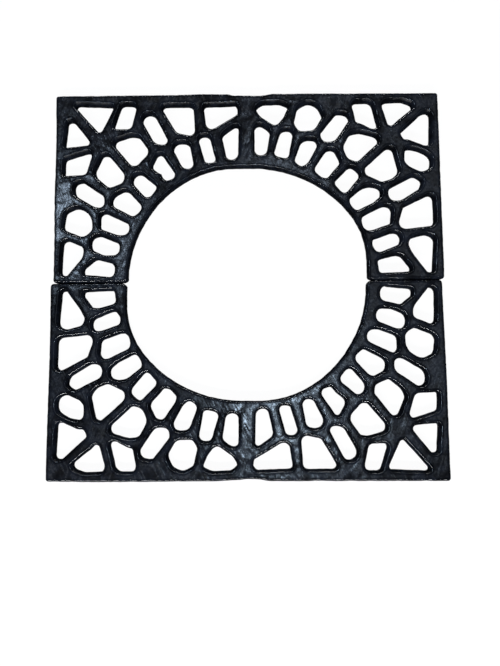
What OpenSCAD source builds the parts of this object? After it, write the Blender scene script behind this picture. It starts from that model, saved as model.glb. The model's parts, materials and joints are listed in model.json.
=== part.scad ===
// Tree grate of cast iron: a square of two like halves round a tree opening.
// Each half is one casting, pierced by forty-two pebble-shaped openings with drafted walls.
// The underside lies on z = 0 and the seam between the halves runs along y = 0.

/* [Grate] */
// Side of the square that the two halves make together, in mm
grate_w = 1000; // [900:10:1220]
// Thickness of the castings
plate_t = 22; // [18:1:30]
// Gap between the halves along the seam
seam_gap = 1; // [0.5:0.5:6]
// Distance that each half lies off the middle along the seam, in opposite directions
lay_shift = 3.3; // [0:0.1:5]

/* [Tree opening] */
// Width of the tree opening at its wall, on a grate 1000 mm wide
tree_w = 615; // [590:1:618]
// Radius of the corner between the tree opening and the seam
tip_r = 10; // [6:1:14]

/* [Casting] */
// Radius of the corners at the far edge
far_corner_r = 7; // [5:0.5:12]
// Radius of the outer corners at the seam
seam_corner_r = 9; // [5:0.5:14]
// Width and depth of the broken arris round the top face
arris = 3; // [1:0.25:3.5]
// Draft of the walls, in degrees
draft_angle = 1.5; // [0:0.5:4]
// Depth of the ground hollow that the gate left in the far edge
gate_depth = 4; // [1:0.5:6]
// Metal and paint left standing inside the drawn outlines of the drain openings
left_standing = 1.5; // [0:0.25:2]
// Largest distance between a facet and the rounded corner that it stands for
facet_error = 0.35; // [0.2:0.05:0.8]

/* [Hidden] */

// Side of the square for which the openings are drawn below
drawn_w = 1000;
pattern_scale = grate_w / drawn_w;
// Width at which the tree opening is drawn below, and the scale that brings it to its own
drawn_tree_w = 615;
tree_scale = pattern_scale * tree_w / drawn_tree_w;
half_w = grate_w / 2;
seam_y = seam_gap / 2;
draft = plate_t * tan(draft_angle);

// Cutters run past the faces by this much
past = 1;
// Ends of the floor of the gate's hollow, the height that its slopes rise past it, and their rounding
gate_left = -34;
gate_right = 36;
gate_rise = 14;
gate_r = 20;

// How far the corners of the rough casting lie off a true square, clockwise from the far left one
off_square = [[-3, 3], [2, -1], [1, 0], [-1, 0]];

iron = [0.15, 0.16, 0.19];

// Each opening is a ring of corners [x, y, radius], clockwise from its upper left, in mm on a grate
// of drawn_w. The seam is the x axis, and the tree opening lies at the origin.

// Slots that stand round the tree opening, from the left end of the seam to the middle web
ring_left = [
    [[-394, 65, 15], [-340, 51, 18], [-345, 13, 14], [-425, 21, 8], [-425, 39, 10]],
    [[-408, 125, 20], [-381, 125, 20], [-330, 104, 16], [-331, 71, 18], [-372, 71, 30], [-408, 88, 20]],
    [[-385, 194, 14], [-305, 155, 17], [-307, 125, 18], [-337, 124, 36], [-385, 142, 16]],
    [[-354, 229, 20], [-316, 249, 19], [-268, 197, 16], [-296, 172, 14], [-354, 203, 20]],
    [[-300, 290, 18], [-275, 290, 14], [-231, 252, 14], [-260, 216, 15], [-300, 262, 20]],
    [[-230, 353, 11], [-187, 288, 15], [-190, 275, 10], [-213, 266, 13], [-227, 284, 6], [-254, 306, 18]],
    [[-206, 374, 19], [-150, 374, 20], [-137, 299, 15], [-168, 299, 18]],
    [[-133, 391, 14], [-98, 392, 16], [-79, 315, 10], [-110, 315, 9]],
    [[-69, 391, 18], [-20, 425, 9], [-22, 322, 19], [-54, 322, 15]]
];

// Slots that stand round the tree opening, from the middle web to the right end of the seam
ring_right = [
    [[19, 419, 13], [39, 418, 16], [63, 401, 18], [52, 333, 18], [19, 333, 16]],
    [[89, 405, 17], [124, 405, 16], [109, 322, 12], [66, 332, 14]],
    [[144, 378, 22], [186, 378, 15], [185, 356, 18], [161, 312, 30], [143, 300, 12], [121, 315, 14]],
    [[208, 350, 18], [229, 350, 16], [247, 312, 18], [209, 269, 8], [193, 271, 20], [175, 289, 9], [176, 302, 24]],
    [[269, 305, 11], [294, 285, 15], [292, 270, 18], [258, 229, 12], [246, 230, 12], [226, 252, 14], [227, 264, 13]],
    [[264, 217, 10], [309, 253, 42], [347, 244, 15], [347, 220, 18], [327, 203, 30], [280, 180, 13], [264, 199, 20]],
    [[293, 168, 20], [352, 197, 24], [376, 195, 16], [371, 147, 14], [322, 129, 28], [299, 129, 18], [293, 150, 28]],
    [[319, 108, 14], [372, 125, 28], [395, 125, 16], [394, 93, 18], [341, 72, 16], [330, 73, 12], [319, 90, 20]],
    [[330, 54, 12], [382, 67, 30], [396, 63, 10], [418, 33, 10], [416, 20, 8], [336, 18, 9]]
];

// Openings along the left edge, from the seam to the far corner
rim_left = [
    [[-481, 120, 14], [-424, 96, 16], [-424, 69, 38], [-466, 18, 6], [-485, 18, 14]],
    [[-476, 188, 16], [-443, 203, 24], [-404, 180, 38], [-402, 137, 19], [-427, 119, 22], [-483, 142, 20]],
    [[-454, 270, 17], [-430, 270, 14], [-372, 230, 20], [-372, 198, 14], [-396, 198, 30], [-454, 232, 30]],
    [[-481, 332, 12], [-401, 356, 12], [-422, 286, 17], [-482, 284, 7]],
    [[-476, 436, 8], [-458, 436, 11], [-404, 367, 10], [-482, 360, 8]]
];

// Openings along the far edge, from the left corner to the right one
rim_far = [
    [[-464, 482, 8], [-346, 476, 10], [-386, 394, 9]],
    [[-333, 480, 13], [-288, 479, 15], [-303, 410, 14], [-356, 409, 11]],
    [[-232, 475, 10], [-139, 475, 16], [-134, 385, 16], [-186, 397, 14]],
    [[-116, 474, 9], [-24, 477, 10], [-15, 466, 7], [-17, 448, 9], [-106, 396, 17]],
    [[20, 462, 10], [40, 478, 16], [88, 479, 30], [113, 468, 8], [99, 437, 30], [77, 409, 16], [35, 439, 20]],
    [[132, 464, 16], [160, 480, 22], [187, 469, 28], [201, 438, 20], [177, 398, 20], [135, 398, 14], [122, 419, 18]],
    [[273, 478, 15], [329, 479, 20], [347, 401, 12], [326, 400, 12], [300, 415, 30], [284, 420, 8]],
    [[349, 478, 16], [408, 480, 30], [436, 470, 14], [437, 455, 10], [397, 424, 14], [372, 399, 11]]
];

// Openings along the right edge, from the far corner to the seam
rim_right = [
    [[459, 444, 20], [483, 451, 12], [479, 354, 10], [461, 353, 14], [424, 370, 20], [409, 371, 8], [400, 390, 8]],
    [[410, 352, 15], [450, 345, 50], [481, 326, 22], [478, 291, 20], [453, 283, 18], [421, 298, 30], [409, 311, 20]],
    [[364, 241, 22], [434, 276, 15], [457, 261, 12], [447, 238, 14], [398, 207, 30], [364, 206, 19]],
    [[402, 191, 10], [484, 232, 13], [483, 140, 16], [390, 130, 18], [390, 155, 22]],
    [[417, 110, 16], [458, 121, 30], [482, 112, 18], [475, 18, 9], [459, 18, 9], [422, 69, 60], [410, 92, 18]]
];

// Openings in the field between the rim and the ring of slots
field = [
    [[-283, 441, 19], [-248, 460, 19], [-200, 366, 12], [-242, 366, 28]],
    [[-349, 381, 11], [-304, 395, 30], [-284, 391, 12], [-252, 347, 22], [-287, 310, 14], [-304, 309, 17], [-349, 363, 14]],
    [[-381, 343, 12], [-364, 343, 16], [-320, 288, 14], [-322, 265, 17], [-360, 249, 14], [-392, 276, 30], [-402, 296, 18]],
    [[236, 449, 11], [269, 446, 18], [270, 425, 14], [231, 367, 26], [192, 367, 17], [192, 394, 14]],
    [[269, 391, 14], [296, 397, 38], [360, 378, 16], [288, 311, 16], [262, 321, 24], [248, 352, 24]],
    [[379, 364, 14], [397, 287, 22], [380, 267, 30], [350, 256, 18], [306, 278, 15], [306, 299, 22]]
];

openings = concat(ring_left, ring_right, rim_left, rim_far, rim_right, field);

// The half of the tree opening on this side of the seam: a loose round that was shaped by hand,
// carried on past the seam so that the cutter goes right through
tree_left = -309;
tree_right = 306;
tree_outline = [
    [tree_left, -40, 2], [tree_left, 88, 290], [-229, 226, 290], [-105, 303, 250],
    [83, 303, 330], [218, 238, 310], [tree_right, 125, 205], [tree_right, -40, 2]
];

// Heading of a vector in degrees
function heading(v) = atan2(v[1], v[0]);

// The same angle between -180 and 180 degrees
function wrapped(a) = a > 180 ? a - 360 : a < -180 ? a + 360 : a;

function turned(v, a) = [v[0] * cos(a) - v[1] * sin(a), v[0] * sin(a) + v[1] * cos(a)];

// Angle of one facet on a corner of this radius
function facet_angle(radius) = 2 * acos(1 - facet_error / radius);

// Arc of one rounded corner between its neighbours, moved out by grow
function corner_arc(before, corner, after, grow) =
    let (
        here = [corner[0], corner[1]],
        way_in = here - [before[0], before[1]],
        way_out = [after[0], after[1]] - here,
        turn = wrapped(heading(way_out) - heading(way_in)),
        hand = sign(turn),
        radius = corner[2],
        start = here - way_in / norm(way_in) * radius * tan(abs(turn) / 2),
        spoke = turned(way_in / norm(way_in), -90 * hand),
        centre = start - spoke * radius,
        steps = max(1, ceil(abs(turn) / facet_angle(radius)))
    )
    [for (k = [0:steps]) centre + turned(spoke, turn * k / steps) * (radius - hand * grow)];

// Closed outline of a ring of rounded corners, moved out by grow
function rounded(corners, grow) =
    let (n = len(corners))
    [for (i = [0:n - 1], p = corner_arc(corners[(i + n - 1) % n], corners[i], corners[(i + 1) % n], grow)) p];

// Solid between like outlines, each with its own height
module loft(outlines, heights) {
    n = len(outlines[0]);
    top = len(outlines) - 1;
    points = [for (i = [0:top], p = outlines[i]) [p[0], p[1], heights[i]]];
    walls = [for (i = [0:top - 1], j = [0:n - 1])
        [i * n + j, i * n + (j + 1) % n, (i + 1) * n + (j + 1) % n, (i + 1) * n + j]];
    floor_face = [for (j = [0:n - 1]) n - 1 - j];
    top_face = [for (j = [0:n - 1]) top * n + j];
    polyhedron(points, concat(walls, [floor_face, top_face]));
}

// Cutter of one opening: it widens to the underside by its draft, and to the top by its arris.
// Its walls stand inside the ring of corners by closed_in.
module opening_cutter(corners, closed_in = 0) {
    loft(
        [for (wider = [draft * (plate_t + past) / plate_t, 0, arris + past]) rounded(corners, wider - closed_in)],
        [-past, plate_t - arris, plate_t + past]
    );
}

// The half without its openings: its sides lean in to the underside, and its arris is broken
module plate() {
    square = [[-half_w, half_w], [half_w, half_w], [half_w, seam_y], [-half_w, seam_y]];
    radii = [far_corner_r, far_corner_r, seam_corner_r, seam_corner_r];
    corners = [for (i = [0:3]) [square[i][0] + off_square[i][0], square[i][1] + off_square[i][1], radii[i]]];
    loft(
        [rounded(corners, -draft), rounded(corners, 0), rounded(corners, -arris)],
        [0, plate_t - arris, plate_t]
    );
}

// Cutter that rounds the right corner between the tree opening and the seam, where the wall of the
// opening meets the seam at tip_x
module tip_cutter(tip_x) {
    turns = [[-1, 1.8, 0.2], [-0.34, 1.8, 0.2], [0.18, 0.26, 1], [2, -0.15, 0.2], [2, -1, 0.2], [-1, -1, 0.2]];
    opening_cutter([for (t = turns) [tip_x + t[0] * tip_r, seam_y + t[1] * tip_r, t[2] * tip_r]]);
}

// Cutter of the shallow hollow in the far edge, where the gate was knocked off and ground down
module gate_cutter() {
    floor_y = half_w - gate_depth;
    corners = [
        [gate_left - 3.5 * gate_rise, floor_y + gate_rise, 2],
        [gate_right + 7 * gate_rise, floor_y + gate_rise, 2],
        [gate_right, floor_y, gate_r],
        [gate_left, floor_y, gate_r]
    ];
    opening_cutter(corners);
}

module half_casting() {
    difference() {
        plate();
        opening_cutter(tree_outline * tree_scale);
        tip_cutter(tree_right * tree_scale);
        mirror([1, 0, 0]) tip_cutter(-tree_left * tree_scale);
        gate_cutter();
        for (corners = openings) opening_cutter(corners * pattern_scale, left_standing);
    }
}

// The half on the far side of the seam
module rear_half() {
    color(iron) translate([lay_shift, 0, 0]) half_casting();
}

// The same casting turned round, on the near side
module front_half() {
    color(iron) rotate([0, 0, 180]) translate([lay_shift, 0, 0]) half_casting();
}

rear_half();
front_half();
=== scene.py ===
"""Looks of a cast-iron tree grate: two like castings laid round a tree opening.

Each half is rebuilt from the outlines of its CAD node as one casting with rolled arrises, drafted
walls and a slightly uneven skin, and is dressed in gloss paint put on with a brush. The stage is a
pale floor with soft studio lamps, and the camera stands where the photograph was taken from.
All lengths are in metres in the row frame.
"""

import json
import logging
import math
from dataclasses import dataclass
from enum import Enum

import bmesh
import bpy
import numpy as np
from mathutils import Euler, Matrix, Vector, noise
from mathutils.geometry import delaunay_2d_cdt
from mathutils.kdtree import KDTree

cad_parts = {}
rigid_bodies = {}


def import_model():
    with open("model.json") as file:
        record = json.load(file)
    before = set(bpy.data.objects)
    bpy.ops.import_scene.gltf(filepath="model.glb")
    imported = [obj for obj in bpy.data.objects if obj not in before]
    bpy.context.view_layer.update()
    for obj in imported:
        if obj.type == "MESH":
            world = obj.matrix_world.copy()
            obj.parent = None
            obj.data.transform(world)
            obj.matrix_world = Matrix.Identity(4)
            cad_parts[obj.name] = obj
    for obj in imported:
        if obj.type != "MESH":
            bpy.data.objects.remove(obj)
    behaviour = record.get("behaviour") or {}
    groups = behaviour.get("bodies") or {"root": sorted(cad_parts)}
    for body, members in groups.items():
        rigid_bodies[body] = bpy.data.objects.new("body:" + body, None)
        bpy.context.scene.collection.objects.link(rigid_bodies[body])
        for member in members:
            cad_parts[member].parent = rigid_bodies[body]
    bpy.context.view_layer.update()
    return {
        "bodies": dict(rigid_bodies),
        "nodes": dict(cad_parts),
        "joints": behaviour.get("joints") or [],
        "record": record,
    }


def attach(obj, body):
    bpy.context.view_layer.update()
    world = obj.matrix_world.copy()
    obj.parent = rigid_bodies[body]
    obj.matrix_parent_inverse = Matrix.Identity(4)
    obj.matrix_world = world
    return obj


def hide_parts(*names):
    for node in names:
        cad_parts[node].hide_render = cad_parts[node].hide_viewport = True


LOG = logging.getLogger("tree_grate")
SENSOR_WIDTH = 36.0


class Half(Enum):
    """The two castings, by the name of their CAD node."""

    REAR = "rear_half"
    FRONT = "front_half"


@dataclass(frozen=True)
class CastingSizes:
    """Sizes of one casting that the CAD outlines don't give.

    Attributes:
        arris: Width of the CAD arris, which is the least width of the rolled edge.
        arris_back: Least and most that the rolled edge starts further back on the metal.
        rim_back: Most that it does so on the casting's own outline, where corners and tips are tight.
        arris_steps: Facets across the round start of the rolled edge.
        bend: Radius of that round start, as a share of the edge's width.
        slope: How steeply the edge falls after it, in degrees.
        lip: Share of the edge's width at which the slope turns down into the wall.
        lip_drop: How far the edge falls beyond that, as a share of its width.
        web: Flat width that stays between two rolled edges.
        draft: How far each wall leans into the metal down to the underside.
        levels: Heights of the wall's rings as shares of its own height.
        foot: Height of the small round at the underside.
        pitch: Spacing of the skin's vertices.
        clear: Share of that spacing that stays free along the outlines.
        merge: Shortest edge that is read from the CAD.
        least: Shortest edge of a finished outline, before long ones are split.
        edge_step: Longest piece of an outline.
        edge_waver: Largest sideways waver of an opening's outline.
        rim_waver: The same for the casting's own outline.
        painted_shade_band: Width of the band of painted shade along every outline, where the paint shines less so that
            the rolled edges read dark.
        skin_sag: Depth of the slow unevenness of the walking face.
        sag_waves: Waves a metre of that unevenness.
        skin_grain: Depth of its quick unevenness.
        grain_waves: Waves a metre of that one.
        opening_chord: Longest facet of an opening that belongs to a rounded corner.
        rim_chord: The same for the casting's own outline.
    """

    arris: float = 0.0030
    arris_back: tuple[float, float] = (0.0003, 0.0036)
    rim_back: float = 0.0015
    arris_steps: int = 4
    bend: float = 0.38
    slope: float = 52.0
    lip: float = 0.86
    lip_drop: float = 0.22
    web: float = 0.0055
    draft: float = 0.00058
    levels: tuple[float, ...] = (0.66, 0.33)
    foot: float = 0.0008
    pitch: float = 0.0045
    clear: float = 0.6
    merge: float = 0.0004
    least: float = 0.0008
    edge_step: float = 0.0060
    edge_waver: float = 0.0013
    rim_waver: float = 0.0018
    painted_shade_band: float = 0.0060
    skin_sag: float = 0.00040
    sag_waves: float = 12.0
    skin_grain: float = 0.00022
    grain_waves: float = 60.0
    opening_chord: float = 0.014
    rim_chord: float = 0.040


@dataclass(frozen=True)
class Blemish:
    """A fault in the casting, as a round spot where its outlines are moved.

    Attributes:
        x: Place along the seam.
        y: Place across the seam.
        radius: Reach of the fault.
        sideways: How far an outline is pushed off the metal there, or into it if negative.
        drag: Way that an outline is moved as a whole there.
        rim_only: Whether only the casting's own outline follows.
    """

    x: float
    y: float
    radius: float
    sideways: float = 0.0
    drag: tuple[float, float] = (0.0, 0.0)
    rim_only: bool = False

    def weight(self, x: float, y: float) -> float:
        """Give the fault's strength at a point.

        Args:
            x: Place along the seam.
            y: Place across the seam.

        Returns:
            One at the middle of the fault, falling smoothly to nought at its radius.
        """
        share = math.hypot(x - self.x, y - self.y) / self.radius
        return 0.0 if share >= 1.0 else (1.0 - share * share) ** 2


class Outline:
    """A closed outline of the walking face, with the way that leads off the metal."""

    def __init__(self, points: np.ndarray, is_rim: bool) -> None:
        """Keep the outline's points.

        Args:
            points: Points in order round the outline, one row each.
            is_rim: Whether it is the casting's own outline, and not that of an opening.
        """
        self.points = points
        self.is_rim = is_rim

    def area(self) -> float:
        """Measure the enclosed area.

        Returns:
            The area, which is positive if the points run anticlockwise.
        """
        x, y = self.points.T
        return 0.5 * float(np.dot(x, np.roll(y, -1)) - np.dot(y, np.roll(x, -1)))

    def _edges(self) -> tuple[np.ndarray, np.ndarray]:
        """Measure the edges that leave each point.

        Returns:
            The unit direction and the length of each edge.
        """
        way = np.roll(self.points, -1, axis=0) - self.points
        length = np.linalg.norm(way, axis=1)
        return way / length[:, None], length

    def off_metal(self) -> np.ndarray:
        """Find the way off the metal at each point.

        Returns:
            One vector a point, long enough to keep a mitred offset parallel.
        """
        way, _ = self._edges()
        side = np.stack([way[:, 1], -way[:, 0]], axis=1) * math.copysign(1.0, self.area())
        side = side if self.is_rim else -side
        before = np.roll(side, 1, axis=0)
        return (side + before) / (1.0 + (side * before).sum(axis=1))[:, None]

    def rounded(self, chord: float) -> "Outline":
        """Halve the facets of the rounded corners, so that they follow their arcs.

        Args:
            chord: Longest edge that is taken for a facet of a corner.

        Returns:
            The finer outline.
        """
        way, length = self._edges()
        before = np.roll(way, 1, axis=0)
        turn = np.arctan2(before[:, 0] * way[:, 1] - before[:, 1] * way[:, 0], (before * way).sum(axis=1))
        bend = (turn + np.roll(turn, -1)) / 2
        rise = length / 2 * np.tan(bend / 4)
        middle = (self.points + np.roll(self.points, -1, axis=0)) / 2
        middle += np.stack([way[:, 1], -way[:, 0]], axis=1) * rise[:, None]
        rows = []
        for point, mid, short in zip(self.points, middle, length < chord):
            rows.append(point)
            if short:
                rows.append(mid)
        return Outline(np.array(rows), self.is_rim)

    def divided(self, step: float) -> "Outline":
        """Split long edges into even pieces.

        Args:
            step: Longest piece.

        Returns:
            The outline with the further points.
        """
        rows = []
        for start, end in zip(self.points, np.roll(self.points, -1, axis=0)):
            count = max(1, math.ceil(float(np.linalg.norm(end - start)) / step))
            rows.extend(start + (end - start) * k / count for k in range(count))
        return Outline(np.array(rows), self.is_rim)

    def thinned(self, least: float) -> "Outline":
        """Drop points that nearly lie on the one before.

        Args:
            least: Shortest edge that stays.

        Returns:
            The outline without the short edges.
        """
        rows = [self.points[0]]
        for point in self.points[1:]:
            if np.linalg.norm(point - rows[-1]) >= least:
                rows.append(point)
        if np.linalg.norm(rows[-1] - rows[0]) < least:
            rows.pop()
        return Outline(np.array(rows), self.is_rim)

    def holds(self, points: np.ndarray) -> np.ndarray:
        """Test which points lie inside the outline.

        Args:
            points: Points to test, one row each.

        Returns:
            One truth value a point.
        """
        inside = np.zeros(len(points), bool)
        low, high = self.points.min(axis=0), self.points.max(axis=0)
        near = np.flatnonzero(((points >= low) & (points <= high)).all(axis=1))
        x, y = points[near].T
        found = np.zeros(len(near), bool)
        for (x0, y0), (x1, y1) in zip(self.points, np.roll(self.points, -1, axis=0)):
            if y0 != y1:
                crosses = (y0 > y) != (y1 > y)
                found ^= crosses & (x < x0 + (y - y0) * (x1 - x0) / (y1 - y0))
        inside[near] = found
        return inside


def planar_tree(points: np.ndarray) -> KDTree:
    """Sort points of a plane for the search of the nearest.

    Args:
        points: The points, one row each.

    Returns:
        The search tree, which numbers them in their order.
    """
    tree = KDTree(len(points))
    for index, (x, y) in enumerate(points):
        tree.insert((x, y, 0.0), index)
    tree.balance()
    return tree


@dataclass(frozen=True)
class RolledEdge:
    """The rolled edge along one outline of a casting.

    Attributes:
        start: Outline on the walking face where it starts.
        away: Direction off the metal at each point.
        width: Width at each point.
    """

    start: Outline
    away: np.ndarray
    width: np.ndarray


class OutlineReader:
    """Reads the outlines of the walking face from a CAD node's mesh, which stays as it is."""

    MERGE = 1e-6
    FLAT = 0.999

    def __init__(self, node: bpy.types.Object) -> None:
        """Keep the node and the height of its walking face.

        Args:
            node: The CAD node.
        """
        self.node = node
        self.top = max(vertex.co.z for vertex in node.data.vertices)

    def read(self) -> list[Outline]:
        """Trace the closed edges of the walking face.

        Returns:
            The rim first, then the openings.
        """
        mesh = bmesh.new()
        mesh.from_mesh(self.node.data)
        bmesh.ops.remove_doubles(mesh, verts=mesh.verts, dist=self.MERGE)
        mesh.normal_update()
        after: dict[int, int] = {}
        places: dict[int, tuple[float, float]] = {}
        for face in mesh.faces:
            if not self._is_walking_face(face):
                continue
            for loop in face.loops:
                others = [other for other in loop.edge.link_faces if other is not face]
                if any(self._is_walking_face(other) for other in others):
                    continue
                start, end = loop.vert, loop.link_loop_next.vert
                after[start.index] = end.index
                places[start.index] = (start.co.x, start.co.y)
        mesh.free()
        loops = self._chains(after, places)
        loops.sort(key=lambda points: abs(Outline(points, False).area()), reverse=True)
        return [Outline(points, index == 0) for index, points in enumerate(loops)]

    def _is_walking_face(self, face: bmesh.types.BMFace) -> bool:
        """Tell whether a face belongs to the top of the casting.

        Args:
            face: The face.

        Returns:
            True if it lies level at the top.
        """
        return face.normal.z > self.FLAT and abs(face.calc_center_median().z - self.top) < self.MERGE

    @staticmethod
    def _chains(after: dict[int, int], places: dict[int, tuple[float, float]]) -> list[np.ndarray]:
        """Join single edges into closed loops.

        Args:
            after: The vertex that follows each vertex.
            places: The place of each vertex.

        Returns:
            The points of each loop.
        """
        chains = []
        left = set(after)
        while left:
            index = min(left)
            chain = []
            while index in left:
                left.discard(index)
                chain.append(places[index])
                index = after[index]
            chains.append(np.array(chain))
        return chains


@dataclass(frozen=True)
class PaintedIron:
    """Gloss black paint, brushed over the skin of a sand casting.

    Attributes:
        name: Name of the material.
        deep: Colour of the thick paint.
        thin: Colour where the paint is thin and worn.
        gloss: Roughness of the smooth patches.
        dull: Roughness of the dusty patches.
        swells: Depth of the broad swells of the cast skin.
        lumps: Depth of its lumps.
        streaks: Depth of the brush marks.
        grain: Depth of the cast grain.
        heading: Direction of the brush, in radians from the seam.
    """

    name: str = "painted_iron"
    deep: tuple[float, float, float] = (0.0016, 0.0018, 0.0026)
    thin: tuple[float, float, float] = (0.0052, 0.0066, 0.0105)
    gloss: float = 0.16
    dull: float = 0.33
    swells: float = 0.0017
    lumps: float = 0.00040
    streaks: float = 0.00065
    grain: float = 0.00008
    heading: float = 1.1

    def make(self) -> bpy.types.Material:
        """Build the node tree.

        Returns:
            The material.
        """
        material = bpy.data.materials.new(self.name)
        material.use_nodes = True
        graph = NodeGraph(material.node_tree)
        place = graph.add("ShaderNodeTexCoord").outputs["Object"]

        patches = graph.noise(place, scale=7.0, detail=4.0, roughness=0.62)
        blotches = graph.noise(place, scale=34.0, detail=5.0, roughness=0.66)
        swells = graph.noise(place, scale=40.0, detail=1.0, roughness=0.4)
        lumps = graph.noise(place, scale=110.0, detail=1.0, roughness=0.4)
        flecks = graph.noise(place, scale=180.0, detail=2.0, roughness=0.6)
        grains = graph.noise(place, scale=620.0, detail=3.0, roughness=0.7)
        pits = graph.voronoi(place, scale=240.0)
        brushed = graph.noise(
            graph.stretched(place, scale=(26.0, 160.0, 30.0), angle=self.heading), scale=1.0, detail=1.0, roughness=0.4
        )
        crossed = graph.noise(
            graph.stretched(place, scale=(150.0, 26.0, 30.0), angle=0.35), scale=1.0, detail=1.0, roughness=0.4
        )
        which = graph.ramp(patches, 0.44, 0.56)
        strokes = graph.mix_value(which, brushed, crossed)

        mottle = graph.ramp(blotches, 0.38, 0.66)
        colour = graph.mix_colour(mottle, self.deep, self.thin)
        edge = graph.marked(Casting.EDGE)
        # Painted shade: a band along every outline where the paint shines less, so that rolled edges and walls read
        # dark.
        painted_shade_band = graph.ramp(graph.marked(Casting.PAINTED_SHADE_BAND), 0.05, 0.75)

        rough = graph.ramp(graph.mix_value(0.5, blotches, strokes), 0.35, 0.65, self.gloss, self.dull)
        rough = graph.mix_value(edge, rough, 0.07)
        shine = graph.ramp(flecks, 0.38, 0.64, 0.32, 0.76)
        # Painted shade: the shine falls to almost nothing in the band.
        shine = graph.mix_value(painted_shade_band, shine, 0.05)
        glint = graph.ramp(grains, 0.42, 0.58, 0.25, 1.0)
        shine = graph.mix_value(edge, shine, glint)

        bump = graph.bump(swells, self.swells, None)
        bump = graph.bump(lumps, self.lumps, bump)
        bump = graph.bump(strokes, self.streaks, bump)
        bump = graph.bump(pits, self.grain, bump)
        bump = graph.bump(grains, self.grain * 0.6, bump)

        shader = graph.add("ShaderNodeBsdfPrincipled")
        shader.inputs["IOR"].default_value = 1.52
        graph.link(colour, shader.inputs["Base Color"])
        graph.link(rough, shader.inputs["Roughness"])
        graph.link(shine, shader.inputs["Specular IOR Level"])
        graph.link(bump, shader.inputs["Normal"])
        output = graph.add("ShaderNodeOutputMaterial")
        graph.link(shader.outputs["BSDF"], output.inputs["Surface"])
        return material


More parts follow.
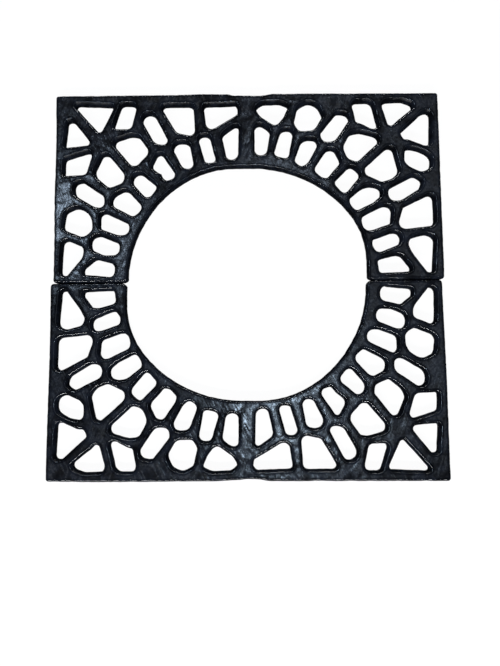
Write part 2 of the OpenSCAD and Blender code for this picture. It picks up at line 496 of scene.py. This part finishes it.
class NodeGraph:
    """A shader node tree with short ways to add the nodes that the finishes use."""

    def __init__(self, tree: bpy.types.NodeTree) -> None:
        """Start with an empty tree.

        Args:
            tree: The material's or the world's node tree.
        """
        self.tree = tree
        tree.nodes.clear()

    def add(self, kind: str) -> bpy.types.Node:
        """Add a node.

        Args:
            kind: The node's type name.

        Returns:
            The node.
        """
        return self.tree.nodes.new(kind)

    def link(self, source: object, target: bpy.types.NodeSocket) -> None:
        """Feed a socket from another, or set it to a constant.

        Args:
            source: A socket, a number or a colour.
            target: The socket that is fed.
        """
        if isinstance(source, bpy.types.NodeSocket):
            self.tree.links.new(source, target)
        elif isinstance(source, tuple):
            target.default_value = (*source, 1.0) if len(target.default_value) == 4 else source
        else:
            target.default_value = source

    def noise(self, place: bpy.types.NodeSocket, scale: float, detail: float, roughness: float) -> bpy.types.NodeSocket:
        """Add fractal noise.

        Args:
            place: Coordinates.
            scale: Cells a metre.
            detail: Octaves.
            roughness: Share of each octave in the next.

        Returns:
            The noise from nought to one.
        """
        node = self.add("ShaderNodeTexNoise")
        self.link(place, node.inputs["Vector"])
        node.inputs["Scale"].default_value = scale
        node.inputs["Detail"].default_value = detail
        node.inputs["Roughness"].default_value = roughness
        return node.outputs["Fac"]

    def marked(self, name: str) -> bpy.types.NodeSocket:
        """Read a mark that the mesh carries.

        Args:
            name: Name of the mark.

        Returns:
            Its value.
        """
        node = self.add("ShaderNodeAttribute")
        node.attribute_name = name
        return node.outputs["Fac"]

    def voronoi(self, place: bpy.types.NodeSocket, scale: float) -> bpy.types.NodeSocket:
        """Add a pattern of rounded cells.

        Args:
            place: Coordinates.
            scale: Cells a metre.

        Returns:
            The distance from the nearest cell's middle.
        """
        node = self.add("ShaderNodeTexVoronoi")
        node.feature = "SMOOTH_F1"
        self.link(place, node.inputs["Vector"])
        node.inputs["Scale"].default_value = scale
        return node.outputs["Distance"]

    def stretched(
        self, place: bpy.types.NodeSocket, scale: tuple[float, float, float], angle: float
    ) -> bpy.types.NodeSocket:
        """Turn and stretch coordinates.

        Args:
            place: Coordinates.
            scale: Cells a metre along each axis after the turn.
            angle: Turn about the vertical, in radians.

        Returns:
            The new coordinates.
        """
        turn = self.add("ShaderNodeMapping")
        self.link(place, turn.inputs["Vector"])
        turn.inputs["Rotation"].default_value = (0.0, 0.0, angle)
        node = self.add("ShaderNodeMapping")
        self.link(turn.outputs["Vector"], node.inputs["Vector"])
        node.inputs["Scale"].default_value = scale
        return node.outputs["Vector"]

    def ramp(
        self, value: bpy.types.NodeSocket, low: float, high: float, to_low: float = 0.0, to_high: float = 1.0
    ) -> bpy.types.NodeSocket:
        """Map a span of a value smoothly onto another.

        Args:
            value: The value.
            low: Start of the span.
            high: End of the span.
            to_low: Result at the start.
            to_high: Result at the end.

        Returns:
            The mapped value.
        """
        node = self.add("ShaderNodeMapRange")
        node.interpolation_type = "SMOOTHSTEP"
        self.link(value, node.inputs["Value"])
        node.inputs["From Min"].default_value = low
        node.inputs["From Max"].default_value = high
        node.inputs["To Min"].default_value = to_low
        node.inputs["To Max"].default_value = to_high
        return node.outputs["Result"]

    def math(self, operation: str, first: object, second: object) -> bpy.types.NodeSocket:
        """Add a sum of two values.

        Args:
            operation: Name of the sum.
            first: A socket or a number.
            second: A socket or a number.

        Returns:
            The result.
        """
        node = self.add("ShaderNodeMath")
        node.operation = operation
        self.link(first, node.inputs[0])
        self.link(second, node.inputs[1])
        return node.outputs["Value"]

    def mix_value(self, share: object, first: object, second: object) -> bpy.types.NodeSocket:
        """Blend two values.

        Args:
            share: Share of the second.
            first: A socket or a number.
            second: A socket or a number.

        Returns:
            The blend.
        """
        node = self.add("ShaderNodeMix")
        node.data_type = "FLOAT"
        self.link(share, node.inputs["Factor"])
        self.link(first, node.inputs["A"])
        self.link(second, node.inputs["B"])
        return node.outputs["Result"]

    def mix_colour(self, share: object, first: object, second: object) -> bpy.types.NodeSocket:
        """Blend two colours.

        Args:
            share: Share of the second.
            first: A socket or a colour.
            second: A socket or a colour.

        Returns:
            The blend.
        """
        node = self.add("ShaderNodeMix")
        node.data_type = "RGBA"
        self.link(share, node.inputs["Factor"])
        self.link(first, next(socket for socket in node.inputs if socket.identifier == "A_Color"))
        self.link(second, next(socket for socket in node.inputs if socket.identifier == "B_Color"))
        return next(socket for socket in node.outputs if socket.identifier == "Result_Color")

    def bump(self, height: bpy.types.NodeSocket, depth: float, normal: object) -> bpy.types.NodeSocket:
        """Turn a height into a bent normal.

        Args:
            height: The height from nought to one.
            depth: What a height of one stands for.
            normal: The normal that is bent, or None for the surface's own.

        Returns:
            The bent normal.
        """
        node = self.add("ShaderNodeBump")
        node.inputs["Distance"].default_value = depth
        self.link(height, node.inputs["Height"])
        if normal is not None:
            self.link(normal, node.inputs["Normal"])
        return node.outputs["Normal"]


class Casting:
    """One half of the grate.

    Its mesh carries two marks for the finish: EDGE, which is one in the middle of the round start of a
    rolled edge, and PAINTED_SHADE_BAND, which is one on edges and walls and fades out over the walking face;
    the finish paints shade with it, as a dark rim of little shine along every outline.
    """

    EDGE = "edge"
    # Mark of the band of painted shade along the outlines.
    PAINTED_SHADE_BAND = "painted_shade_band"
    STRIDE = Vector((3.1, 1.7, 0.4))  # Sets the noise of the castings apart.
    BROAD = (26.0, 5.0, 0.6)  # Waves a metre, layer and share of the outlines' broad waver.
    FINE = (90.0, 9.0, 0.4)  # The same for their fine waver.
    SMOOTHING = 3  # Rounds in which neighbours even out how far a rolled edge is set back.

    def __init__(self, half: Half, sizes: CastingSizes, blemishes: tuple[Blemish, ...]) -> None:
        """Keep what the casting is made from.

        Args:
            half: Which of the two it is.
            sizes: Its sizes.
            blemishes: The faults in this casting.
        """
        self.half = half
        self.sizes = sizes
        self.blemishes = blemishes
        self.shift = self.STRIDE * (1 + list(Half).index(half))
        self.top = 0.0
        self.object: bpy.types.Object | None = None

    def build(self, node: bpy.types.Object) -> bpy.types.Object:
        """Build the casting from the outlines of its CAD node.

        Args:
            node: The CAD node, which it stands in for.

        Returns:
            The new object.
        """
        reader = OutlineReader(node)
        self.top = reader.top
        edges = self._finished(reader.read())
        outlines = [edge.start for edge in edges]
        mesh = bmesh.new()
        mesh.verts.layers.float.new(self.EDGE)
        mesh.verts.layers.float.new(self.PAINTED_SHADE_BAND)
        upper, lower = [], []
        for edge in edges:
            rings = self._rings(mesh, edge)
            upper.append(rings[0])
            lower.append(rings[-1])
        self._cap(mesh, outlines, upper, with_grid=True)
        self._cap(mesh, outlines, lower, with_grid=False)
        bmesh.ops.recalc_face_normals(mesh, faces=mesh.faces)
        for face in mesh.faces:
            face.smooth = True
        for ring in lower:
            for first, second in zip(ring, ring[1:] + ring[:1]):
                mesh.edges.get((first, second)).smooth = False
        data = bpy.data.meshes.new(f"{self.half.value}_casting")
        mesh.to_mesh(data)
        mesh.free()
        self.object = bpy.data.objects.new(f"{self.half.value}_casting", data)
        bpy.context.scene.collection.objects.link(self.object)
        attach(self.object, "root")
        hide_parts(node.name)
        LOG.info("%s: %d outlines, %d faces", data.name, len(outlines), len(data.polygons))
        return self.object

    def dress(self, material: bpy.types.Material) -> None:
        """Give the casting its finish.

        Args:
            material: The finish.
        """
        self.object.data.materials.append(material)

    def _finished(self, outlines: list[Outline]) -> list[RolledEdge]:
        """Round the outlines off and let them waver as a sand mould does.

        Args:
            outlines: The outlines as they are in the CAD node.

        Returns:
            The rolled edges of the casting.
        """
        sizes = self.sizes
        fine = []
        for outline in outlines:
            chord = sizes.rim_chord if outline.is_rim else sizes.opening_chord
            outline = outline.thinned(sizes.merge).rounded(chord).rounded(chord / 2)
            fine.append(outline.thinned(sizes.least).divided(sizes.edge_step))
        edges = []
        for outline, back in zip(fine, self._set_back(fine)):
            away = outline.off_metal()
            moved = [
                point + way * (self._push(point, outline.is_rim) - inward) + self._drag(point, outline.is_rim)
                for point, way, inward in zip(outline.points, away, back)
            ]
            edges.append(RolledEdge(Outline(np.array(moved), outline.is_rim), away, sizes.arris + back))
        return edges

    def _push(self, point: np.ndarray, is_rim: bool) -> float:
        """Work out how far the casting's unevenness moves an outline off the metal.

        Args:
            point: Place on the outline.
            is_rim: Whether it is the casting's own outline.

        Returns:
            The distance.
        """
        waver = sum(self._noise(point, waves, layer) * share for waves, layer, share in (self.BROAD, self.FINE))
        push = -self.sizes.rim_waver * abs(waver) if is_rim else self.sizes.edge_waver * waver
        return push + sum(
            blemish.sideways * blemish.weight(point[0], point[1])
            for blemish in self.blemishes
            if not blemish.rim_only
        )

    def _drag(self, point: np.ndarray, is_rim: bool) -> np.ndarray:
        """Work out how blemishes drag an outline along.

        Args:
            point: Place on the outline.
            is_rim: Whether it is the casting's own outline.

        Returns:
            The shift.
        """
        drag = np.zeros(2)
        for blemish in self.blemishes:
            if is_rim or not blemish.rim_only:
                drag += np.array(blemish.drag) * blemish.weight(point[0], point[1])
        return drag

    def _set_back(self, outlines: list[Outline]) -> list[np.ndarray]:
        """Work out how much further back the rolled edges start than the CAD arris.

        Args:
            outlines: The outlines where the CAD arris starts.

        Returns:
            The distance at each point of each outline, less where a web is narrow.
        """
        owners = [index for index, outline in enumerate(outlines) for _ in outline.points]
        tree = planar_tree(np.concatenate([outline.points for outline in outlines]))
        distances = []
        for index, outline in enumerate(outlines):
            webs = np.array([
                tree.find((x, y, 0.0), filter=lambda other: owners[other] != index)[2] for x, y in outline.points
            ])
            least, most = self.sizes.arris_back
            if outline.is_rim:
                most = self.sizes.rim_back
            back = np.clip((webs - self.sizes.web) / 2, least, most)
            for _ in range(self.SMOOTHING):
                back = (np.roll(back, 1) + 2 * back + np.roll(back, -1)) / 4
            distances.append(back)
        return distances

    def _rings(self, mesh: bmesh.types.BMesh, edge: RolledEdge) -> list[list[bmesh.types.BMVert]]:
        """Build a rolled edge and the wall below it.

        Args:
            mesh: The mesh that grows.
            edge: The rolled edge.

        Returns:
            The rings of vertices from the walking face down to the underside.
        """
        rings = []
        for share_out, drop, mark in self._roll():
            places = []
            for point, way, width in zip(edge.start.points, edge.away, edge.width):
                x, y = point + way * (width * share_out)
                places.append((x, y, self.top - width * drop - (1 - share_out) * self._sink(point)))
            rings.append(self._ring(mesh, places, mark))
        for height, lean in self._wall():
            places = []
            for point, way, width in zip(edge.start.points, edge.away, edge.width):
                x, y = point + way * (width - lean)
                places.append((x, y, height))
            rings.append(self._ring(mesh, places, 0.0))
        for high, low in zip(rings, rings[1:]):
            for index in range(len(high)):
                after = (index + 1) % len(high)
                mesh.faces.new((high[index], high[after], low[after], low[index]))
        return rings

    def _ring(
        self, mesh: bmesh.types.BMesh, places: list[tuple[float, float, float]], mark: float
    ) -> list[bmesh.types.BMVert]:
        """Add one ring of vertices.

        Args:
            mesh: The mesh that grows.
            places: Where they stand.
            mark: Their mark as part of the round start of a rolled edge.

        Returns:
            The vertices.
        """
        edge_layer = mesh.verts.layers.float[self.EDGE]
        painted_shade_band_layer = mesh.verts.layers.float[self.PAINTED_SHADE_BAND]
        ring = []
        for place in places:
            vertex = mesh.verts.new(place)
            vertex[edge_layer] = mark
            # Painted shade band at full strength on the rolled edges and walls.
            vertex[painted_shade_band_layer] = 1.0
            ring.append(vertex)
        return ring

    def _roll(self) -> list[tuple[float, float, float]]:
        """List the rings of a rolled edge.

        Returns:
            Way off the metal and drop of each ring, as shares of the edge's width, and its mark.
        """
        sizes = self.sizes
        steep = math.radians(sizes.slope)
        profile = []
        for step in range(sizes.arris_steps + 1):
            share = step / sizes.arris_steps
            drop = sizes.bend * (1 - math.cos(steep * share))
            profile.append((sizes.bend * math.sin(steep * share), drop, math.sin(math.pi * share)))
        out, drop, _ = profile[-1]
        fall = drop + (sizes.lip - out) * math.tan(steep)
        return profile + [(sizes.lip, fall, 0.0), (1.0, fall + sizes.lip_drop, 0.0)]

    def _wall(self) -> list[tuple[float, float]]:
        """List the rings of the wall below a rolled edge.

        Returns:
            Height and lean into the metal of each ring, from the top down.
        """
        sizes = self.sizes
        shoulder = self.top - sizes.arris - sizes.arris_back[1]
        heights = [shoulder * level for level in sizes.levels] + [sizes.foot]
        rows = [(height, sizes.draft * (1 - height / shoulder)) for height in heights]
        return rows + [(0.0, sizes.draft + sizes.foot)]

    def _cap(
        self, mesh: bmesh.types.BMesh, outlines: list[Outline], rings: list[list[bmesh.types.BMVert]], with_grid: bool
    ) -> None:
        """Close the casting between its outlines, at the walking face or the underside.

        Args:
            mesh: The mesh that grows.
            outlines: The outlines, the rim first.
            rings: The vertices that stand on them at this level.
            with_grid: Whether the face gets an uneven skin of its own vertices.
        """
        vertices = [vertex for ring in rings for vertex in ring]
        places = [Vector((vertex.co.x, vertex.co.y)) for vertex in vertices]
        edges = []
        for ring in rings:
            first = len(edges)
            count = len(ring)
            edges.extend((first + index, first + (index + 1) % count) for index in range(count))
        loops = [Outline(np.array([(v.co.x, v.co.y) for v in ring]), o.is_rim) for ring, o in zip(rings, outlines)]
        if with_grid:
            painted_shade_band_layer = mesh.verts.layers.float[self.PAINTED_SHADE_BAND]
            for x, y, clear in self._grid(loops):
                places.append(Vector((x, y)))
                vertex = mesh.verts.new((x, y, self.top - self._sink((x, y))))
                # Painted shade band, fading out over the walking face away from the outlines.
                vertex[painted_shade_band_layer] = max(0.0, 1.0 - clear / self.sizes.painted_shade_band)
                vertices.append(vertex)
        found, _, faces, origins, _, _ = delaunay_2d_cdt(places, edges, [], 0, 1e-7)
        flat = np.array([tuple(place) for place in found])
        corners = np.array([tuple(face) for face in faces])
        middles = flat[corners].mean(axis=1)
        solid = loops[0].holds(middles)
        for loop in loops[1:]:
            solid &= ~loop.holds(middles)
        own = [vertices[origin[0]] if origin else None for origin in origins]
        for triangle in corners[solid]:
            mesh.faces.new([own[index] for index in triangle])

    def _grid(self, loops: list[Outline]) -> np.ndarray:
        """Spread points over the metal, clear of its outlines.

        Args:
            loops: The outlines, the rim first.

        Returns:
            The points and their distances from the nearest outline, one row each.
        """
        pitch = self.sizes.pitch
        low, high = loops[0].points.min(axis=0), loops[0].points.max(axis=0)
        rows = []
        for row, y in enumerate(np.arange(low[1], high[1], pitch * math.sqrt(0.75))):
            start = low[0] + (row % 2) * pitch / 2
            rows.extend((x, y) for x in np.arange(start, high[0], pitch))
        points = np.array(rows)
        inside = loops[0].holds(points)
        for loop in loops[1:]:
            inside &= ~loop.holds(points)
        points = points[inside]
        tree = planar_tree(np.concatenate([loop.points for loop in loops]))
        clear = np.array([tree.find((x, y, 0.0))[2] for x, y in points])
        far = clear > pitch * self.sizes.clear
        return np.column_stack([points, clear])[far]

    def _noise(self, point: tuple[float, float], scale: float, layer: float) -> float:
        """Give smooth noise that differs between the halves.

        Args:
            point: Place on the casting.
            scale: Waves a metre.
            layer: A number that sets this noise apart from others.

        Returns:
            A value between about minus one and one.
        """
        return noise.noise(Vector((point[0] * scale, point[1] * scale, layer)) + self.shift)

    def _sink(self, point: tuple[float, float]) -> float:
        """Tell how far the walking face lies below its plane.

        Args:
            point: Place on the casting.

        Returns:
            The depth, never less than nought.
        """
        sizes = self.sizes
        slow = 0.5 + 0.5 * self._noise(point, sizes.sag_waves, 1.0)
        quick = 0.5 + 0.5 * self._noise(point, sizes.grain_waves, 2.0)
        return max(0.0, sizes.skin_sag * slow + sizes.skin_grain * quick)


@dataclass(frozen=True)
class Camera:
    """The camera, where the photograph was taken from.

    Attributes:
        place: Its place.
        turn: Its turns about X, Y and Z, taken in this order, that bring the row frame to its own.
        lens: Focal length over a 36 mm long side.
    """

    place: tuple[float, float, float] = (0.0227, -0.2374, 1.2817)
    turn: tuple[float, float, float] = (-0.0828, -0.0122, 0.0094)
    lens: float = 27.03

    def build(self) -> bpy.types.Object:
        """Make the camera and look through it.

        Returns:
            The camera.
        """
        data = bpy.data.cameras.new("camera")
        data.lens = self.lens
        data.sensor_width = SENSOR_WIDTH
        camera = bpy.data.objects.new("camera", data)
        bpy.context.scene.collection.objects.link(camera)
        about_x, about_y, about_z = self.turn
        view = (
            Matrix.Rotation(about_z, 3, "Z") @ Matrix.Rotation(about_y, 3, "Y") @ Matrix.Rotation(about_x, 3, "X")
        )
        camera.matrix_world = Matrix.Translation(self.place) @ view.transposed().to_4x4()
        bpy.context.scene.camera = camera
        return camera


@dataclass(frozen=True)
class Lamp:
    """A soft panel whose reflection the camera sees at a chosen point of the grate.

    Attributes:
        name: Its name.
        spot: Point of the walking face that mirrors the panel to the camera.
        height: Height of the panel.
        size: Its sides.
        power: Its power in watts.
        colour: Its colour.
        turn: Turn of the panel about the vertical.
    """

    name: str
    spot: tuple[float, float]
    height: float
    size: tuple[float, float]
    power: float
    colour: tuple[float, float, float]
    turn: float

    def build(self, camera: Camera) -> bpy.types.Object:
        """Make the panel and aim it at its spot.

        Args:
            camera: The camera that sees its reflection.

        Returns:
            The lamp.
        """
        data = bpy.data.lights.new(self.name, "AREA")
        data.shape = "RECTANGLE"
        data.size, data.size_y = self.size
        data.energy = self.power
        data.color = self.colour
        lamp = bpy.data.objects.new(self.name, data)
        bpy.context.scene.collection.objects.link(lamp)
        spot = Vector((*self.spot, 0.0))
        eye = Vector(camera.place)
        run = (spot - eye).to_2d() * (self.height / eye.z)
        lamp.location = (spot.x + run.x, spot.y + run.y, self.height)
        aim = (spot - lamp.location).to_track_quat("-Z", "Y")
        lamp.rotation_mode = "QUATERNION"
        lamp.rotation_quaternion = aim @ Euler((0.0, 0.0, self.turn)).to_quaternion()
        return lamp


@dataclass(frozen=True)
class Studio:
    """The pale floor, the surroundings and the lamps.

    Attributes:
        reach: Half the side of the floor.
        gap: How far the floor lies below the underside, so that the two don't flicker.
        pale: Colour of the floor and of the surroundings in the camera's eye.
        glow: Share of the floor's brightness that shadows don't darken.
        bounce: Grey of the floor as the metal mirrors it.
        room: Brightness of the room as the metal mirrors it.
        daylight: Colour of the room as the metal mirrors it.
        lamps: The lamps.
    """

    reach: float = 12.0
    gap: float = 0.0005
    pale: tuple[float, float, float] = (1.0, 1.0, 1.0)
    glow: float = 0.955
    bounce: float = 0.05
    room: float = 0.05
    daylight: tuple[float, float, float] = (0.88, 0.94, 1.0)
    lamps: tuple[Lamp, ...] = (
        Lamp("window_left", (-0.485, 0.165), 2.1, (0.26, 0.50), 7.2, (0.62, 0.79, 1.0), 0.5),
        Lamp("window_ring", (-0.36, 0.10), 2.1, (0.18, 0.45), 1.7, (0.62, 0.78, 1.0), 0.5),
        Lamp("wall_left", (-0.30, -0.20), 2.4, (0.8, 0.45), 0.9, (0.70, 0.83, 1.0), 0.0),
        Lamp("panel_middle", (0.075, -0.335), 2.4, (0.20, 0.24), 9.0, (0.62, 0.80, 1.0), 0.3),
        Lamp("panel_low", (0.25, -0.27), 2.4, (0.20, 0.36), 1.0, (0.66, 0.82, 1.0), 0.6),
        Lamp("panel_far", (0.11, 0.27), 2.4, (0.20, 0.36), 2.6, (0.66, 0.80, 1.0), -0.6),
        Lamp("wall_right", (0.45, 0.0), 2.4, (2.2, 3.0), 6.8, (0.76, 0.86, 1.0), 0.0),
        Lamp("strip_near", (-0.10, -1.25), 1.7, (3.2, 0.20), 190.0, (0.96, 0.98, 1.0), 0.0),
        Lamp("strip_far", (0.0, 1.6), 1.4, (3.4, 0.20), 140.0, (0.96, 0.98, 1.0), 0.0),
    )

    def build(self, camera: Camera) -> None:
        """Make the floor, the world and the lamps.

        Args:
            camera: The camera that the lamps are placed for.
        """
        self._floor()
        self._world()
        for lamp in self.lamps:
            lamp.build(camera)
            LOG.info("lamp %s", lamp.name)
        bpy.context.scene.view_settings.view_transform = "Standard"

    def _floor(self) -> None:
        """Lay the floor under the grate."""
        mesh = bmesh.new()
        bmesh.ops.create_grid(mesh, x_segments=1, y_segments=1, size=self.reach)
        data = bpy.data.meshes.new("floor")
        mesh.to_mesh(data)
        mesh.free()
        floor = bpy.data.objects.new("floor", data)
        floor.location.z = -self.gap
        bpy.context.scene.collection.objects.link(floor)
        material = bpy.data.materials.new("floor")
        material.use_nodes = True
        graph = NodeGraph(material.node_tree)
        seen = graph.add("ShaderNodeLightPath").outputs["Is Camera Ray"]
        paint = graph.add("ShaderNodeBsdfDiffuse")
        graph.link(graph.mix_colour(seen, (self.bounce,) * 3, self.pale), paint.inputs["Color"])
        light = graph.add("ShaderNodeEmission")
        graph.link(self.pale, light.inputs["Color"])
        light.inputs["Strength"].default_value = 1.0
        share = graph.math("MULTIPLY", seen, self.glow)
        mixed = graph.add("ShaderNodeMixShader")
        graph.link(share, mixed.inputs[0])
        graph.link(paint.outputs["BSDF"], mixed.inputs[1])
        graph.link(light.outputs["Emission"], mixed.inputs[2])
        output = graph.add("ShaderNodeOutputMaterial")
        graph.link(mixed.outputs["Shader"], output.inputs["Surface"])
        data.materials.append(material)

    def _world(self) -> None:
        """Make the surroundings white to the eye and dim in reflections."""
        world = bpy.data.worlds.new("room")
        world.use_nodes = True
        bpy.context.scene.world = world
        graph = NodeGraph(world.node_tree)
        seen = graph.add("ShaderNodeLightPath").outputs["Is Camera Ray"]
        back = graph.add("ShaderNodeBackground")
        graph.link(graph.mix_colour(seen, self.daylight, self.pale), back.inputs["Color"])
        graph.link(graph.mix_value(seen, self.room, 1.0), back.inputs["Strength"])
        output = graph.add("ShaderNodeOutputWorld")
        graph.link(back.outputs["Background"], output.inputs["Surface"])


class TreeGrate:
    """The whole grate."""

    BLEMISHES = {
        Half.REAR: (
            Blemish(-0.2255, 0.2835, 0.007, sideways=0.0022),
            Blemish(-0.010, 0.462, 0.034, drag=(-0.0080, 0.0)),
            Blemish(0.293, 0.128, 0.012, sideways=-0.0015),
            Blemish(0.530, 0.500, 0.400, drag=(0.0, -0.0028), rim_only=True),
            Blemish(-0.110, 0.500, 0.075, drag=(0.0, 0.0014), rim_only=True),
            Blemish(-0.015, 0.500, 0.050, drag=(0.0, 0.0024), rim_only=True),
            Blemish(-0.500, 0.500, 0.100, drag=(-0.0024, 0.0), rim_only=True),
            Blemish(-0.500, 0.220, 0.120, drag=(-0.0015, 0.0), rim_only=True),
        ),
        Half.FRONT: (
            Blemish(0.354, -0.013, 0.008, sideways=-0.0015),
            Blemish(-0.034, -0.4985, 0.034, drag=(0.0, -0.0030), rim_only=True),
            Blemish(0.030, -0.4985, 0.018, drag=(0.0, -0.0018), rim_only=True),
            Blemish(-0.330, -0.500, 0.220, drag=(0.0, -0.0016), rim_only=True),
            Blemish(-0.505, -0.180, 0.200, drag=(0.0016, 0.0), rim_only=True),
            Blemish(0.500, -0.250, 0.200, drag=(0.0012, 0.0), rim_only=True),
        ),
    }

    def __init__(self, frame: dict) -> None:
        """Keep the CAD frame.
        """
        self.frame = frame
        self.castings: list[Casting] = []

    def build(self) -> None:
        """Build both castings."""
        for half in Half:
            casting = Casting(half, CastingSizes(), self.BLEMISHES[half])
            casting.build(self.frame["nodes"][half.value])
            self.castings.append(casting)

    def dress(self) -> None:
        """Paint both castings, and the CAD nodes that they stand in for."""
        paint = PaintedIron().make()
        for casting in self.castings:
            casting.dress(paint)
            node = self.frame["nodes"][casting.half.value]
            node.data.materials.clear()
            node.data.materials.append(paint)
            LOG.info("%s painted", casting.half.value)


def main() -> None:
    """Build the grate, its stage and its camera."""
    logging.basicConfig(level=logging.INFO, format="%(name)s: %(message)s")
    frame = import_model()
    grate = TreeGrate(frame)
    grate.build()
    grate.dress()
    camera = Camera()
    camera.build()
    Studio().build(camera)


if __name__ == "__main__":
    main()
